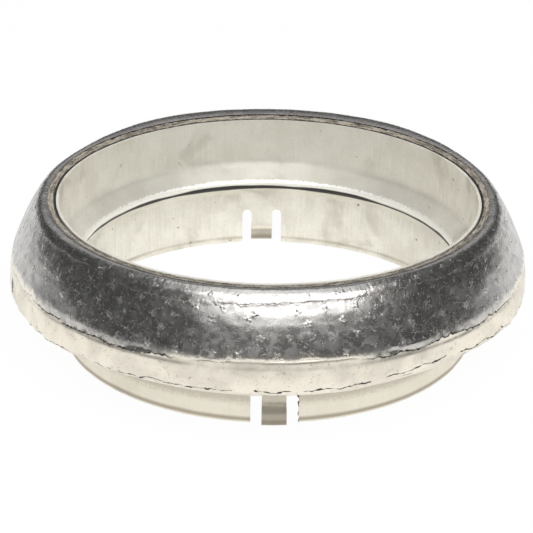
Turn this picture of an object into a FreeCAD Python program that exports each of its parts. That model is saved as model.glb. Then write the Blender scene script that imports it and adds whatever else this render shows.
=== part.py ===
"""Exhaust gasket: a formed sheet sleeve that carries a pressed packing ring with a ball-shaped seat."""

import FreeCAD, Part
import math
import os
import Sketcher

# Driving dimensions, in millimetres and degrees
SIZES = (
    ("bore_radius", 63.5, "inside of the sleeve's upper end, where the gas pipe comes in"),
    ("sheet", 0.8, "thickness of the sleeve's sheet"),
    ("sleeve_height", 43.8, "upper edge of the sleeve above its lower edge"),
    ("skirt_step", 0.9, "how much less the skirt's inside radius is than the upper end's"),
    ("lead_in_height", 1.6, "height of the turned-in lower edge"),
    ("lead_in_depth", 0.3, "how far the lower edge is turned in"),
    ("bead_depth", 5.6, "how far the rolled bead stands into the bore"),
    ("bead_height", 22.7, "crest of the bead above the lower edge"),
    ("bead_flank", 47, "slope of the bead's flanks away from the axis"),
    ("bend_radius", 1.2, "inside radius of each bend of the sheet"),
    ("tab_width", 6.85, "width of each spring tab"),
    ("slot_width", 3.2, "width of the slots on both sides of a tab"),
    ("slot_height", 11.75, "top of the slots above the lower edge"),
    ("slot_corner", 1.5, "radius of the corners at a slot's top"),
    ("tab_bend_height", 6.6, "where a tab starts to lean outward"),
    ("tab_knee_height", 3.7, "where a tab turns upright again"),
    ("tab_reach", 1.45, "how far a tab's end stands out of the skirt"),
    ("tab_lift", 0.2, "gap under a tab's end"),
    ("facing", 0.4, "thickness of each facing"),
    ("packing_width", 14.3, "how far the seat's widest edge stands out of the sleeve"),
    ("lap_height", 26, "height of the seat's widest edge, where it laps over the belly"),
    ("seat_top_width", 5.5, "how far the seat's ball stands out of the sleeve level with its end"),
    ("shoulder_rise", 1.1, "flat top of the seat's shoulder above the sleeve's end"),
    ("shoulder_radius", 1.6, "rounding between that flat top and the seat"),
    ("lip_width", 1.4, "how far the flat top runs inward past the rounding"),
    ("lap_overlap", 2.5, "how far the belly facing runs up under the seat facing"),
    ("belly_swell", 0.95, "how much wider the belly is at its foot than under the lap"),
    ("underside_angle", 30, "slope of the underside from level"),
    ("hem_height", 8.8, "where the underside meets the skirt"),
    ("crevice_width", 0.6, "gap between the sleeve's end and the packing's end"),
    ("crevice_depth", 0.8, "depth of that gap"),
    ("cut_margin", 2, "how far a cutting profile runs past the sheet"),
)

# Dimensions that follow from the driving ones, each from the values above it
DERIVED = (
    ("flank", "sizes.bead_flank * 1 deg", "the flanks' slope as an angle"),
    ("slope", "tan(sizes.underside_angle * 1 deg)", "rise of the underside per length"),
    ("skirt_bore", "sizes.bore_radius - sizes.skirt_step", "inside of the skirt"),
    ("skirt_outer", "skirt_bore + sizes.sheet", "outside of the skirt"),
    ("sleeve_outer", "sizes.bore_radius + sizes.sheet", "outside of the sleeve's upper end"),
    ("bend_outer", "sizes.bend_radius + sizes.sheet", "outside radius of each bend"),
    ("crest", "sizes.bore_radius - sizes.bead_depth", "smallest inside radius, at the bead's crest"),
    ("crest_corner", "crest - bend_outer * (1 / cos(flank) - 1)", "where the flanks' inner faces would meet"),
    ("root_corner", "crest_corner + sizes.sheet / cos(flank)", "where their outer faces would meet"),
    ("bead_top", "sizes.bead_height + (sizes.bore_radius - crest_corner) / tan(flank)", "upper bend's corner"),
    ("bead_foot", "sizes.bead_height - (skirt_bore - crest_corner) / tan(flank)", "lower bend's corner"),
    ("bend_shift", "sizes.sheet * tan(flank / 2)", "height between a bend's inner and outer corners"),
    ("root_radius", "root_corner + sizes.bend_radius * tan(flank) * sin(flank)", "bottom of the bead's groove"),
    ("root_half", "sizes.bend_radius * sin(flank)", "half the height of that bottom"),
    ("lap_radius", "sleeve_outer + sizes.packing_width", "widest edge of the seat"),
    ("seat_top_radius", "sleeve_outer + sizes.seat_top_width", "the ball level with the sleeve's end"),
    ("ball_height",
     "(seat_top_radius ^ 2 - lap_radius ^ 2 + sizes.sleeve_height ^ 2 - sizes.lap_height ^ 2)"
     " / (2 * (sizes.sleeve_height - sizes.lap_height))", "height of the ball's centre on the axis"),
    ("ball", "sqrt(lap_radius ^ 2 + (sizes.lap_height - ball_height) ^ 2)", "ball radius of the seat"),
    ("ball_under", "ball - sizes.facing", "ball radius under the seat facing"),
    ("ball_inmost", "ball - 2 * sizes.facing", "ball radius under both facings"),
    ("lap_top", "sizes.lap_height + sizes.lap_overlap", "upper edge of the belly facing"),
    ("lap_top_outer", "sqrt(ball_under ^ 2 - (lap_top - ball_height) ^ 2)", "that edge's outer radius"),
    ("lap_top_inner", "sqrt(ball_inmost ^ 2 - (lap_top - ball_height) ^ 2)", "that edge's inner radius"),
    ("belly", "sqrt(ball_under ^ 2 - (sizes.lap_height - ball_height) ^ 2)", "radius of the belly at the lap"),
    ("belly_under", "belly - sizes.facing", "radius under the facing there"),
    ("belly_under_top", "ball_height + sqrt(ball_inmost ^ 2 - belly_under ^ 2)", "its height"),
    ("belly_edge", "belly + sizes.belly_swell", "radius of the belly at its foot, the widest edge of all"),
    ("belly_foot", "sizes.hem_height + (belly_edge - skirt_outer) * slope", "height of that edge"),
    ("belly_edge_under", "belly_edge - sizes.facing", "radius of that edge under the facing"),
    ("hem_top", "sizes.hem_height + sizes.facing / cos(sizes.underside_angle * 1 deg)", "hem's upper side"),
    ("belly_under_foot", "hem_top + (belly_edge_under - skirt_outer) * slope", "its height"),
    ("rise_top", "sizes.sleeve_height + sizes.shoulder_rise", "top of the whole part"),
    ("rise_under", "rise_top - sizes.facing", "top of the packing under the facing"),
    ("round_under", "sizes.shoulder_radius - sizes.facing", "shoulder's rounding under the facing"),
    ("round_height", "rise_top - sizes.shoulder_radius", "height of the rounding's centre"),
    ("round_reach", "ball - sizes.shoulder_radius", "that centre's distance from the ball's centre"),
    ("round_centre", "sqrt(round_reach ^ 2 - (round_height - ball_height) ^ 2)", "its distance from the axis"),
    ("round_end", "round_centre * ball / round_reach", "radius where the rounding meets the seat"),
    ("round_end_height", "ball_height + (round_height - ball_height) * ball / round_reach", "its height"),
    ("round_end_under", "round_centre * ball_under / round_reach", "the same under the facing"),
    ("round_end_under_height",
     "ball_height + (round_height - ball_height) * ball_under / round_reach", "its height"),
    ("lip", "round_centre - sizes.lip_width", "inner edge of the seat facing"),
    ("tab_lean", "atan(sizes.tab_reach / (sizes.tab_bend_height - sizes.tab_knee_height))", "a tab's slope"),
    ("tab_shift", "sizes.sheet * tan(tab_lean / 2)", "height between a tab bend's two corners"),
)

BALL_CENTRE = ("0", "derived.ball_height")
ROUND_CENTRE = ("derived.round_centre", "derived.round_height")


def make_sheets(doc):
    """The driving dimensions, and a second sheet worked out from them."""
    sizes = doc.addObject("Spreadsheet::Sheet", "sizes")
    for row, (alias, value, note) in enumerate(SIZES, start=1):
        sizes.set(f"A{row}", note)
        sizes.set(f"B{row}", str(value))
        sizes.setAlias(f"B{row}", alias)
    doc.recompute()
    derived = doc.addObject("Spreadsheet::Sheet", "derived")
    for row, (alias, formula, note) in enumerate(DERIVED, start=1):
        derived.set(f"A{row}", note)
        derived.set(f"B{row}", f"={formula}")
        derived.setAlias(f"B{row}", alias)
    doc.recompute()


def origin_feature(body, role):
    return next(item for item in body.Origin.OriginFeatures if item.Role == role)


def new_sketch(body, name, role):
    sketch = body.newObject("Sketcher::SketchObject", name)
    sketch.AttachmentSupport = [(origin_feature(body, role), "")]
    sketch.MapMode = "FlatFace"
    return sketch


def value_of(sketch, expression):
    result = sketch.evalExpression(expression)
    return float(getattr(result, "Value", result))


def bind(sketch, constraint, expression):
    index = sketch.addConstraint(constraint)
    sketch.setExpression(f"Constraints[{index}]", expression)


def place(sketch, geometry, end, corner):
    """Hold one point of the sketch at its distance from the axis and its height."""
    across, up = (value_of(sketch, part) for part in corner)
    bind(sketch, Sketcher.Constraint("DistanceX", -1, 1, geometry, end, across), corner[0])
    bind(sketch, Sketcher.Constraint("DistanceY", -1, 1, geometry, end, up), corner[1])


def arc_between(start, end, centre):
    """The shorter arc between two points, and whether it runs from start to end."""
    first = math.atan2(start.y - centre.y, start.x - centre.x)
    last = math.atan2(end.y - centre.y, end.x - centre.x)
    forward = (last - first) % (2 * math.pi) < math.pi
    if not forward:
        first, last = last, first
    circle = Part.Circle(centre, FreeCAD.Vector(0, 0, 1), (start - centre).Length)
    return Part.ArcOfCircle(circle, first, last), forward


def trim_corner(before, point, after, radius):
    """Where a rounded corner's arc starts and ends, and the arc's centre."""
    back = (before - point).normalize()
    ahead = (after - point).normalize()
    half = back.getAngle(ahead) / 2
    if not radius:
        return point, point, point
    reach = radius / math.tan(half)
    centre = point + (back + ahead).normalize() * (radius / math.sin(half))
    return point + back * reach, point + ahead * reach, centre


def draw_outline(sketch, corners):
    """Draw a closed outline.

    Each corner is (distance from axis, height, how the edge after it runs). The third entry is
    None for a straight edge or (radius, centre) for an arc. A fourth entry rounds the corner.
    """
    points = [FreeCAD.Vector(*(value_of(sketch, part) for part in corner[:2]), 0) for corner in corners]
    rounds = [value_of(sketch, corner[3]) if len(corner) > 3 else 0 for corner in corners]
    followers = points[1:] + points[:1]
    trims = [trim_corner(points[k - 1], points[k], followers[k], rounds[k]) for k in range(len(corners))]

    edges = []
    for k, corner in enumerate(corners):
        start = trims[k][1]
        end = trims[(k + 1) % len(corners)][0]
        if corner[2] is None:
            edges.append((sketch.addGeometry(Part.LineSegment(start, end)), 1, 2))
            continue
        radius, centre = corner[2]
        middle = FreeCAD.Vector(*(value_of(sketch, part) for part in centre), 0)
        arc, forward = arc_between(start, end, middle)
        edge = sketch.addGeometry(arc)
        bind(sketch, Sketcher.Constraint("Radius", edge, value_of(sketch, radius)), radius)
        edges.append((edge, 1, 2) if forward else (edge, 2, 1))

    for k, corner in enumerate(corners):
        incoming, _, last = edges[k - 1]
        outgoing, first, _ = edges[k]
        if not rounds[k]:
            sketch.addConstraint(Sketcher.Constraint("Coincident", incoming, last, outgoing, first))
            place(sketch, outgoing, first, corner[:2])
            continue
        tip = sketch.addGeometry(Part.Point(points[k]), True)
        place(sketch, tip, 1, corner[:2])
        sketch.addConstraint(Sketcher.Constraint("PointOnObject", tip, 1, incoming))
        sketch.addConstraint(Sketcher.Constraint("PointOnObject", tip, 1, outgoing))
        arc, forward = arc_between(*trims[k])
        rounding = sketch.addGeometry(arc)
        ends = (1, 2) if forward else (2, 1)
        sketch.addConstraint(Sketcher.Constraint("Tangent", incoming, last, rounding, ends[0]))
        sketch.addConstraint(Sketcher.Constraint("Tangent", rounding, ends[1], outgoing, first))
        bind(sketch, Sketcher.Constraint("Radius", rounding, rounds[k]), corner[3])


def revolve(body, kind, sketch, name, angle=None):
    """Turn a sketch about the axis: all the way round, or through an angle with the sketch midway."""
    turn = body.newObject(kind, name)
    turn.Profile = sketch
    turn.ReferenceAxis = (sketch, ["V_Axis"])
    turn.Angle = 360
    if angle:
        turn.Midplane = True
        turn.setExpression("Angle", angle)
    sketch.Visibility = False
    return turn


def new_body(doc, label):
    body = doc.addObject("PartDesign::Body", label)
    body.Label = label
    return body


def sleeve_wall(body):
    """The strip's section: upright end, rolled bead, upright skirt and its turned-in edge."""
    sketch = new_sketch(body, "sleeve_section", "XZ_Plane")
    draw_outline(sketch, [
        ("derived.skirt_bore - sizes.lead_in_depth", "0", None),
        ("derived.skirt_outer - sizes.lead_in_depth", "0", None),
        ("derived.skirt_outer", "sizes.lead_in_height", None),
        ("derived.skirt_outer", "derived.bead_foot + derived.bend_shift", None, "derived.bend_outer"),
        ("derived.root_corner", "sizes.bead_height", None, "sizes.bend_radius"),
        ("derived.sleeve_outer", "derived.bead_top - derived.bend_shift", None, "derived.bend_outer"),
        ("derived.sleeve_outer", "sizes.sleeve_height", None),
        ("sizes.bore_radius", "sizes.sleeve_height", None),
        ("sizes.bore_radius", "derived.bead_top", None, "sizes.bend_radius"),
        ("derived.crest_corner", "sizes.bead_height", None, "derived.bend_outer"),
        ("derived.skirt_bore", "derived.bead_foot", None, "sizes.bend_radius"),
        ("derived.skirt_bore", "sizes.lead_in_height", None),
    ])
    return revolve(body, "PartDesign::Revolution", sketch, "wall")


def tab_notch(body):
    """The piece of skirt that each bent tab replaces, cut out between the middles of its slots."""
    sketch = new_sketch(body, "notch_section", "YZ_Plane")
    inner = "derived.skirt_bore - sizes.cut_margin"
    outer = "derived.skirt_outer + sizes.cut_margin"
    top = "sizes.tab_bend_height + sizes.cut_margin / 2"
    draw_outline(sketch, [
        (inner, "-sizes.cut_margin", None),
        (outer, "-sizes.cut_margin", None),
        (outer, top, None),
        (inner, top, None),
    ])
    angle = "2 * asin((sizes.tab_width + sizes.slot_width) / 2 / derived.skirt_bore)"
    return revolve(body, "PartDesign::Groove", sketch, "notch", angle)


def bent_tab(body):
    """One spring tab: upright root, a lean outward and an upright end."""
    sketch = new_sketch(body, "tab_section", "YZ_Plane")
    top = "sizes.tab_bend_height + sizes.cut_margin / 2"
    end_inner = "derived.skirt_bore + sizes.tab_reach"
    end_outer = "derived.skirt_outer + sizes.tab_reach"
    draw_outline(sketch, [
        ("derived.skirt_bore", top, None),
        ("derived.skirt_bore", "sizes.tab_bend_height", None),
        (end_inner, "sizes.tab_knee_height", None),
        (end_inner, "sizes.tab_lift", None),
        (end_outer, "sizes.tab_lift", None),
        (end_outer, "sizes.tab_knee_height + derived.tab_shift", None),
        ("derived.skirt_outer", "sizes.tab_bend_height + derived.tab_shift", None),
        ("derived.skirt_outer", top, None),
    ])
    angle = "2 * asin((sizes.tab_width / 2 + sizes.slot_width / 4) / derived.skirt_bore)"
    return revolve(body, "PartDesign::Revolution", sketch, "tab", angle)


def tab_slots(body):
    """Two parallel slots beside each tab, cut through both sides of the skirt."""
    sketch = new_sketch(body, "slot_outline", "XZ_Plane")
    for side in ("", "-"):
        near = f"{side}(sizes.tab_width / 2)"
        far = f"{side}(sizes.tab_width / 2 + sizes.slot_width)"
        draw_outline(sketch, [
            (near, "-sizes.cut_margin", None),
            (far, "-sizes.cut_margin", None),
            (far, "sizes.slot_height", None, "sizes.slot_corner"),
            (near, "sizes.slot_height", None, "sizes.slot_corner"),
        ])
    slots = body.newObject("PartDesign::Pocket", "slots")
    slots.Profile = sketch
    slots.Midplane = True
    slots.setExpression("Length", "2 * (derived.skirt_outer + sizes.tab_reach + sizes.cut_margin)")
    sketch.Visibility = False
    return slots


def make_sleeve(doc):
    """Formed sheet sleeve with its bead and its two spring tabs."""
    body = new_body(doc, "sleeve")
    wall = sleeve_wall(body)
    notch = tab_notch(body)
    tab = bent_tab(body)
    pair = body.newObject("PartDesign::PolarPattern", "both_sides")
    pair.Originals = [notch, tab]
    pair.Axis = (origin_feature(body, "Z_Axis"), [""])
    pair.Angle = 360
    pair.Occurrences = 2
    body.Tip = pair
    slots = tab_slots(body)
    doc.recompute()
    for cut, base in ((notch, wall), (slots, pair)):
        if not cut.Shape.Volume < base.Shape.Volume:
            raise RuntimeError(f"{cut.Name} cuts nothing")
    return body


def make_packing(doc):
    """Pressed ring of packing that fills the bead's groove and backs both facings."""
    body = new_body(doc, "packing")
    sketch = new_sketch(body, "packing_section", "XZ_Plane")
    draw_outline(sketch, [
        ("derived.sleeve_outer + sizes.crevice_width", "sizes.sleeve_height", None),
        ("derived.lip", "sizes.sleeve_height", None),
        ("derived.lip", "derived.rise_under", None),
        ("derived.round_centre", "derived.rise_under", None),
        ("derived.round_end_under", "derived.round_end_under_height", ("derived.ball_under", BALL_CENTRE)),
        ("derived.lap_top_outer", "derived.lap_top", None),
        ("derived.lap_top_inner", "derived.lap_top", ("derived.ball_inmost", BALL_CENTRE)),
        ("derived.belly_under", "derived.belly_under_top", None),
        ("derived.belly_edge_under", "derived.belly_under_foot", None),
        ("derived.skirt_outer", "derived.hem_top", None),
        ("derived.skirt_outer", "derived.bead_foot + derived.bend_shift", None),
        ("derived.root_radius", "sizes.bead_height - derived.root_half", None),
        ("derived.root_radius", "sizes.bead_height + derived.root_half", None),
        ("derived.sleeve_outer", "derived.bead_top - derived.bend_shift", None),
        ("derived.sleeve_outer", "sizes.sleeve_height - sizes.crevice_depth", None),
    ])
    revolve(body, "PartDesign::Revolution", sketch, "ring")
    return body


def make_seat_facing(doc):
    """Dimpled sheet over the ball-shaped seat, turned in over the shoulder and lapped over the belly."""
    body = new_body(doc, "seat_facing")
    sketch = new_sketch(body, "seat_section", "XZ_Plane")
    draw_outline(sketch, [
        ("derived.lip", "derived.rise_top", None),
        ("derived.lip", "derived.rise_under", None),
        ("derived.round_centre", "derived.rise_under", ("derived.round_under", ROUND_CENTRE)),
        ("derived.round_end_under", "derived.round_end_under_height", ("derived.ball_under", BALL_CENTRE)),
        ("derived.belly", "sizes.lap_height", None),
        ("derived.lap_radius", "sizes.lap_height", ("derived.ball", BALL_CENTRE)),
        ("derived.round_end", "derived.round_end_height", ("sizes.shoulder_radius", ROUND_CENTRE)),
        ("derived.round_centre", "derived.rise_top", None),
    ])
    revolve(body, "PartDesign::Revolution", sketch, "shell")
    return body


def make_belly_facing(doc):
    """Plain sheet round the belly and the underside, tucked under the seat facing's lap."""
    body = new_body(doc, "belly_facing")
    sketch = new_sketch(body, "belly_section", "XZ_Plane")
    draw_outline(sketch, [
        ("derived.lap_top_outer", "derived.lap_top", ("derived.ball_under", BALL_CENTRE)),
        ("derived.belly", "sizes.lap_height", None),
        ("derived.belly_edge", "derived.belly_foot", None),
        ("derived.skirt_outer", "sizes.hem_height", None),
        ("derived.skirt_outer", "derived.hem_top", None),
        ("derived.belly_edge_under", "derived.belly_under_foot", None),
        ("derived.belly_under", "derived.belly_under_top", ("derived.ball_inmost", BALL_CENTRE)),
        ("derived.lap_top_inner", "derived.lap_top", None),
    ])
    revolve(body, "PartDesign::Revolution", sketch, "shell_below")
    return body


def check_document(doc, bodies):
    for item in doc.Objects:
        if "Invalid" in item.State or "Error" in item.State:
            raise RuntimeError(f"{item.Name} failed: {item.State}")
    for body in bodies:
        if body.Shape.isNull() or not body.Shape.isValid() or len(body.Shape.Solids) != 1:
            raise RuntimeError(f"{body.Label} is not one valid solid")


document = FreeCAD.newDocument("exhaust_gasket")
make_sheets(document)
pieces = [make(document) for make in (make_sleeve, make_packing, make_seat_facing, make_belly_facing)]
document.recompute()
check_document(document, pieces)

os.makedirs("parts", exist_ok=True)
for piece in pieces:
    piece.Shape.exportStep(f"parts/{piece.Label}.step")
    print(f"{piece.Label}: volume {piece.Shape.Volume:.1f} mm3")
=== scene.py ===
import math

import bpy
import numpy as np
from mathutils import Matrix, Vector


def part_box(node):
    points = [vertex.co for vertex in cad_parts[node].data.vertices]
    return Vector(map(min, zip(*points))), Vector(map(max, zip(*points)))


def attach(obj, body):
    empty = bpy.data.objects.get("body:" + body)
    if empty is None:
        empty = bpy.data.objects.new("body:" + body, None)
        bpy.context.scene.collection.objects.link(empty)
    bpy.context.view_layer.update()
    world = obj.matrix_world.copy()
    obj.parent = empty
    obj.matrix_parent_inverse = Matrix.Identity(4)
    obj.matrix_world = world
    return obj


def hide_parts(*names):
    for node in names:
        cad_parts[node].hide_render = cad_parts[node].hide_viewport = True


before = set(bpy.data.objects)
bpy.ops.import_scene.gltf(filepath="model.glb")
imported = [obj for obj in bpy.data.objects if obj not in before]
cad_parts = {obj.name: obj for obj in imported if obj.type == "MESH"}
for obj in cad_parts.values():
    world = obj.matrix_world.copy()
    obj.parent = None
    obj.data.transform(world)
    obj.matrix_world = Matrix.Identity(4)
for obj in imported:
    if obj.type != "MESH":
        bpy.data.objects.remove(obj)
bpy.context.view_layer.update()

# The sleeve
# A strip of stainless sheet rolled into a ring, with a bead pressed into its middle and its lower edge
# turned in a little. Two spring tabs are slit out of the skirt at the front and back and bent outward.
mm = 0.001
SHEET = 0.8 * mm
SLEEVE_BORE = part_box("sleeve")[1][0] - SHEET
SLEEVE_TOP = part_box("sleeve")[1][2]
SKIRT_STEP = 0.9 * mm
SKIRT_BORE = SLEEVE_BORE - SKIRT_STEP
LEAD_IN_DEPTH = 0.3 * mm
LEAD_IN_HEIGHT = 1.6 * mm
BEAD_DEPTH = 5.6 * mm
BEAD_CREST = SLEEVE_BORE - BEAD_DEPTH
BEAD_HEIGHT = 22.7 * mm
BEAD_FLANK = math.radians(47)
BEND_RADIUS = 1.2 * mm
SOFT_BEND = 4 * mm
TAB_HALF = 3.425 * mm
SLOT_WIDTH = 3.2 * mm
SLOT_FAR = TAB_HALF + SLOT_WIDTH
SLOT_TOP = 11.75 * mm
SLOT_CORNER = 1.5 * mm
TAB_BEND = 6.6 * mm
TAB_KNEE = 3.7 * mm
TAB_REACH = 1.45 * mm
TAB_LIFT = 0.2 * mm
TORN_SLOT_EDGE = 6.75 * mm
TORN_DEPTH = 0.22 * mm
DENT_TURN = math.radians(121.4)
DENT_HEIGHT = 31.5 * mm
DENT_DEPTH = 0.35 * mm
DENT_REACH = 0.8 * mm
SHADE_LINE_HEIGHT = 21.9 * mm
SLEEVE_COLUMNS = 600
SHEET_STEP = 0.8 * mm
TOUCHING = 0.01 * mm
RING_RADIUS = 72 * mm
WAVES = 26


def rounded_path(corners, steps):
    """Points of an open outline of (distance from axis, height, rounding) corners."""
    points = [Vector(corner[:2]) for corner in corners]
    path = [points[0]]
    for before, point, after, corner in zip(points, points[1:], points[2:], corners[1:]):
        back = (before - point).normalized()
        ahead = (after - point).normalized()
        half = back.angle(ahead) / 2
        rounding = corner[2]
        if not rounding:
            path.append(point)
            continue
        centre = point + (back + ahead).normalized() * (rounding / math.sin(half))
        first = point + back * (rounding / math.tan(half)) - centre
        last = point + ahead * (rounding / math.tan(half)) - centre
        begin = math.atan2(first.y, first.x)
        sweep = math.remainder(math.atan2(last.y, last.x) - begin, 2 * math.pi)
        for k in range(steps + 1):
            swing = begin + sweep * k / steps
            path.append(centre + rounding * Vector((math.cos(swing), math.sin(swing))))
    path.append(points[-1])
    return path


def split_long(path, longest):
    """The same outline with its long straight runs divided."""
    result = [path[0]]
    for start, end in zip(path, path[1:]):
        count = max(1, math.ceil((end - start).length / longest))
        result += [start.lerp(end, (k + 1) / count) for k in range(count)]
    return result


def ripple(angles, across, wavelength, seed):
    """Smooth random unevenness of about one unit, which closes on itself round the part."""
    draw = np.random.default_rng(seed)
    total = np.zeros(np.broadcast(angles, across).shape)
    for _ in range(WAVES):
        heading = draw.uniform(0, math.pi)
        pitch = 2 * math.pi / wavelength * draw.uniform(0.6, 1.5)
        turns = round(pitch * math.cos(heading) * RING_RADIUS)
        total += np.cos(turns * angles + pitch * math.sin(heading) * across + draw.uniform(0, 2 * math.pi))
    return total / math.sqrt(WAVES / 2)


def grid_mesh(name, points, keep=None, closed=False):
    """A mesh from rows of points that run right round the axis. keep says which cells have a face."""
    rows, columns = points.shape[:2]
    last = rows if closed else rows - 1
    row, column = np.meshgrid(np.arange(last), np.arange(columns), indexing="ij")
    if keep is not None:
        row, column = row[keep[:last]], column[keep[:last]]
    below = (row + 1) % rows
    beside = (column + 1) % columns
    corners = np.stack([
        row * columns + column, below * columns + column,
        below * columns + beside, row * columns + beside,
    ], axis=-1).reshape(-1, 4)
    mesh = bpy.data.meshes.new(name)
    mesh.from_pydata(points.reshape(-1, 3), [], corners)
    mesh.validate()
    mesh.polygons.foreach_set("use_smooth", np.ones(len(mesh.polygons), bool))
    return mesh


def link_piece(name, mesh, material, node):
    """Put a mesh in the scene in place of a node of the frame."""
    piece = bpy.data.objects.new(name, mesh)
    bpy.context.collection.objects.link(piece)
    mesh.materials.append(material)
    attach(piece, "root")
    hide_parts(node)
    return piece


def skirt_cells(angle):
    """Which columns are tab and which are slot, from the distance across the nearer tab."""
    across = np.abs(np.cos(angle)) * SKIRT_BORE
    is_tab = across < TAB_HALF + TOUCHING
    is_slot = (across > TAB_HALF - TOUCHING) & (across < SLOT_FAR + TOUCHING)
    return is_tab, is_slot


def sleeve_columns():
    """Even columns round the sleeve, with more across the slots so that their tops come out round."""
    even = np.arange(SLEEVE_COLUMNS) * 2 * math.pi / SLEEVE_COLUMNS
    across = np.linspace(TAB_HALF, SLOT_FAR, 13)
    offsets = np.arcsin(np.concatenate([across, -across]) / SKIRT_BORE)
    fine = np.concatenate([math.pi / 2 + offsets, 3 * math.pi / 2 + offsets])
    gap = np.abs(even[:, None] - fine[None, :]).min(axis=1)
    return np.sort(np.concatenate([even[gap > 0.3 * 2 * math.pi / SLEEVE_COLUMNS], fine]))


def sleeve_mesh():
    """The inner face of the sleeve, with its tabs bent out, its slots open and its small dent."""
    corner_radius = BEAD_CREST - (BEND_RADIUS + SHEET) * (1 / math.cos(BEAD_FLANK) - 1)
    bead_top = BEAD_HEIGHT + (SLEEVE_BORE - corner_radius) / math.tan(BEAD_FLANK)
    bead_foot = BEAD_HEIGHT - (SKIRT_BORE - corner_radius) / math.tan(BEAD_FLANK)
    path = rounded_path([
        (SLEEVE_BORE, SLEEVE_TOP, 0),
        (SLEEVE_BORE, bead_top, SOFT_BEND),
        (corner_radius, BEAD_HEIGHT, BEND_RADIUS + SHEET),
        (SKIRT_BORE, bead_foot, BEND_RADIUS),
        (SKIRT_BORE, LEAD_IN_HEIGHT, 0),
        (SKIRT_BORE - LEAD_IN_DEPTH, 0, 0),
    ], 7)
    path = split_long(path, SHEET_STEP)
    height = np.array([point.y for point in path])
    radius = np.array([point.x for point in path])
    for stop in (SLOT_TOP, TAB_BEND, TAB_KNEE):
        height[np.abs(height - stop).argmin()] = stop
    by_slot_top = (height > SLOT_TOP - SLOT_CORNER - 0.3 * mm) & (height < SLOT_TOP + 0.5 * mm)
    crowded = by_slot_top & (height != SLOT_TOP)
    height, radius = height[~crowded], radius[~crowded]
    angle = sleeve_columns()
    is_tab, is_slot = skirt_cells(angle)
    radius = np.repeat(radius[:, None], len(angle), axis=1)
    height = np.repeat(height[:, None], len(angle), axis=1)
    lean = np.clip((TAB_BEND - height) / (TAB_BEND - TAB_KNEE), 0, 1)
    bent_out = np.maximum(radius, SKIRT_BORE) + TAB_REACH * lean
    radius = np.where(is_tab & (height < SLOT_TOP), bent_out, radius)
    height = np.where(is_tab, np.maximum(height, TAB_LIFT), height)
    top_row = np.abs(height[:, 0] - SLOT_TOP).argmin()
    across = np.abs(np.cos(angle)) * SKIRT_BORE
    middle = (TAB_HALF + SLOT_FAR) / 2
    past_flat = np.maximum(np.abs(across - middle) - ((SLOT_FAR - TAB_HALF) / 2 - SLOT_CORNER), 0)
    arch = SLOT_TOP - SLOT_CORNER + np.sqrt(np.maximum(SLOT_CORNER ** 2 - past_flat ** 2, 0))
    height[top_row] = np.where(is_slot, arch, height[top_row])
    between = is_slot & np.roll(is_slot, -1)
    below = np.arange(len(height))[:, None] >= top_row
    keep = ~(below & between[None, :])
    angle = np.repeat(angle[None, :], len(height), axis=0)
    on_slot_edge = np.abs(np.cos(angle) * SKIRT_BORE - SLOT_FAR) < TOUCHING
    torn_edge = on_slot_edge & (np.sin(angle) < 0) & (height < SLOT_TOP)
    ragged = 1.2 + ripple(height * 900, 0, 1.1 * mm, 7)
    angle = angle + torn_edge * TORN_DEPTH / SKIRT_BORE * ragged
    radius = radius + 0.035 * mm * ripple(angle, height, 18 * mm, 5)
    radius = radius + 0.012 * mm * ripple(angle, height, 6 * mm, 6)
    from_dent = np.hypot((angle - DENT_TURN) * SLEEVE_BORE, height - DENT_HEIGHT)
    radius = radius + DENT_DEPTH * np.exp(-(from_dent / DENT_REACH) ** 2)
    points = np.stack([radius * np.cos(angle), radius * np.sin(angle), height], axis=-1)
    return grid_mesh("sleeve_sheet", points, keep)


def thickened(mesh, thickness, edge):
    """Give a sheet its thickness outward and break its cut edges."""
    holder = bpy.data.objects.new("sheet", mesh)
    bpy.context.collection.objects.link(holder)
    solid = holder.modifiers.new("thickness", "SOLIDIFY")
    solid.thickness = thickness
    solid.offset = 1
    solid.use_even_offset = True
    solid.use_quality_normals = True
    bevel = holder.modifiers.new("edges", "BEVEL")
    bevel.width = edge
    bevel.segments = 2
    bevel.limit_method = "ANGLE"
    bevel.angle_limit = math.radians(50)
    shown = holder.evaluated_get(bpy.context.evaluated_depsgraph_get())
    result = bpy.data.meshes.new_from_object(shown)
    bpy.data.objects.remove(holder)
    for corner in result.vertices:
        corner.co.z = max(corner.co.z, 0)
    result.set_sharp_from_angle(angle=math.radians(40))
    return result


def add_node(tree, kind, inputs=None, **settings):
    """One shader node. An input is given as a value or as the socket that feeds it."""
    made = tree.nodes.new(kind)
    for name, value in settings.items():
        setattr(made, name, value)
    for name, value in (inputs or {}).items():
        socket = made.inputs[name]
        if isinstance(value, bpy.types.NodeSocket):
            tree.links.new(value, socket)
        else:
            socket.default_value = value
    return made


def calc(tree, operation, *values):
    return add_node(tree, "ShaderNodeMath", dict(enumerate(values)), operation=operation).outputs[0]


def fade(tree, value, low, high, at_low=0.0, at_high=1.0):
    """A soft step between two values, clamped outside them."""
    inputs = {"Value": value, "From Min": low, "From Max": high, "To Min": at_low, "To Max": at_high}
    return add_node(tree, "ShaderNodeMapRange", inputs, interpolation_type="SMOOTHSTEP").outputs[0]


def stretched(tree, place, factors):
    return add_node(tree, "ShaderNodeVectorMath", {0: place, 1: factors}, operation="MULTIPLY").outputs[0]


def noise(tree, place, scale, detail=2.0, distortion=0.0):
    inputs = {"Vector": place, "Scale": scale, "Detail": detail, "Distortion": distortion}
    return add_node(tree, "ShaderNodeTexNoise", inputs).outputs[0]


def tinted(tree, share, plain, other):
    """One colour turning into another as the share grows."""
    return add_node(tree, "ShaderNodeMix", {0: share, 6: plain, 7: other}, data_type="RGBA").outputs[2]


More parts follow.
